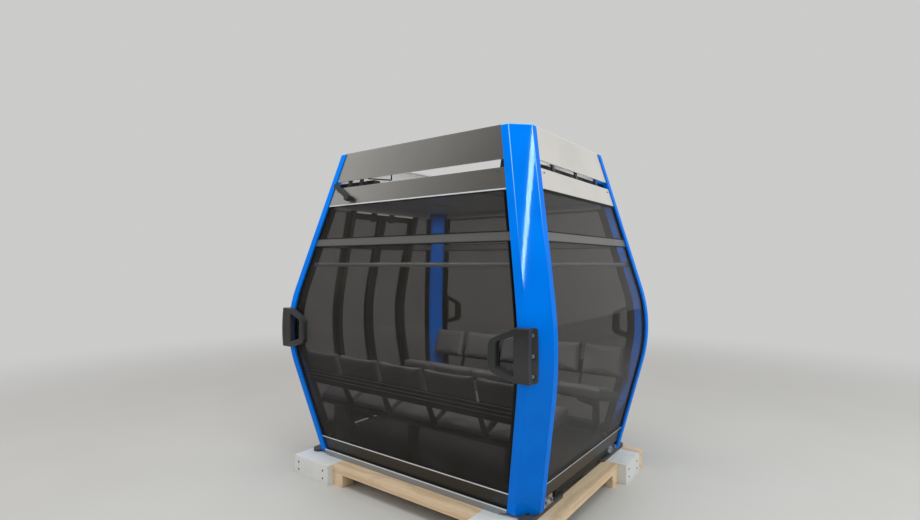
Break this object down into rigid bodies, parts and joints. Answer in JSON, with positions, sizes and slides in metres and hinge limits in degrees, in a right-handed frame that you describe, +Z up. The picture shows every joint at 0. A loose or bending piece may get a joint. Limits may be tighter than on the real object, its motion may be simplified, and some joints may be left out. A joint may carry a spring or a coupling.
{
  "type": "gondola lift cabin on a timber skid",
  "caption": "Glazed ropeway cabin with bowed corner posts, facing benches and sliding double doors, standing on a timber transport skid.",
  "frame": {"origin": "On the ground under the skid, in the middle of the whole part's plan.", "axes": "+Z up; X runs across the cabin, with the doors at -X and the fixed side window at +X; Y runs along the rope, between the two end walls."},
  "size_m": [2.2782, 1.9262, 2.41],
  "materials": {
    "white_paint": "white painted timber",
    "pine": "planed pale pine",
    "dark_plastic": "matt",
    "bare_aluminium": "satin",
    "floor_rubber": "studded, matt",
    "blue_paint": "glossy azure blue",
    "tinted_glass": "dark tint",
    "black_metal": "satin",
    "dark_metal": "satin",
    "grey_paint": "satin warm grey",
    "pale_plastic": "matt",
    "bush_rubber": "matt",
    "steel": "galvanised",
    "black_plastic": "satin black",
    "seat_cover": "dark grey cover"
  },
  "bodies": {
    "cabin": {"skid_blocks": "white_paint", "skid_boards": "pine", "skid_packers": "pine", "side_feet": "dark_plastic", "floor_frame": "bare_aluminium", "floor_panel": "bare_aluminium", "floor_mat": "floor_rubber", "corner_posts": "blue_paint", "post_caps": "blue_paint", "floor_clips": "bare_aluminium", "end_windows": "tinted_glass", "side_windows": "tinted_glass", "upper_windows": "tinted_glass", "mid_rails": "black_metal", "kick_strips": "dark_metal", "head_panels": "grey_paint", "fascias": "grey_paint", "door_jambs": "dark_metal", "slot_brackets": "black_metal", "slot_screen": "black_metal", "roof_panel": "grey_paint", "ceiling_panel": "pale_plastic", "roof_frame": "bare_aluminium", "hanger_bushes": "bush_rubber", "hanger_plate": "steel", "grips": "black_plastic", "seat_pads_a": "seat_cover", "seat_pads_b": "seat_cover", "back_pads_a": "seat_cover", "back_pads_b": "seat_cover", "bench_frame_a": "dark_metal", "bench_frame_b": "dark_metal", "hand_rails": "bare_aluminium", "door_track": "steel", "door_guide": "bare_aluminium", "door_lever": "black_plastic"},
    "door_a": {"leaf_frame_a": "black_metal", "leaf_glass_a": "tinted_glass"},
    "door_b": {"leaf_frame_b": "black_metal", "leaf_glass_b": "tinted_glass"}
  },
  "joints": [
    {"name": "door_a_slide", "type": "slide", "parent": "cabin", "child": "door_a", "axis": [0, -1, 0], "range_m": [0, 0.36]},
    {"name": "door_b_slide", "type": "slide", "parent": "cabin", "child": "door_b", "axis": [0, 1, 0], "range_m": [0, 0.36]}
  ],
  "couplings": [
    {"joint": "door_b_slide", "follows": "door_a_slide", "ratio": 1}
  ]
}
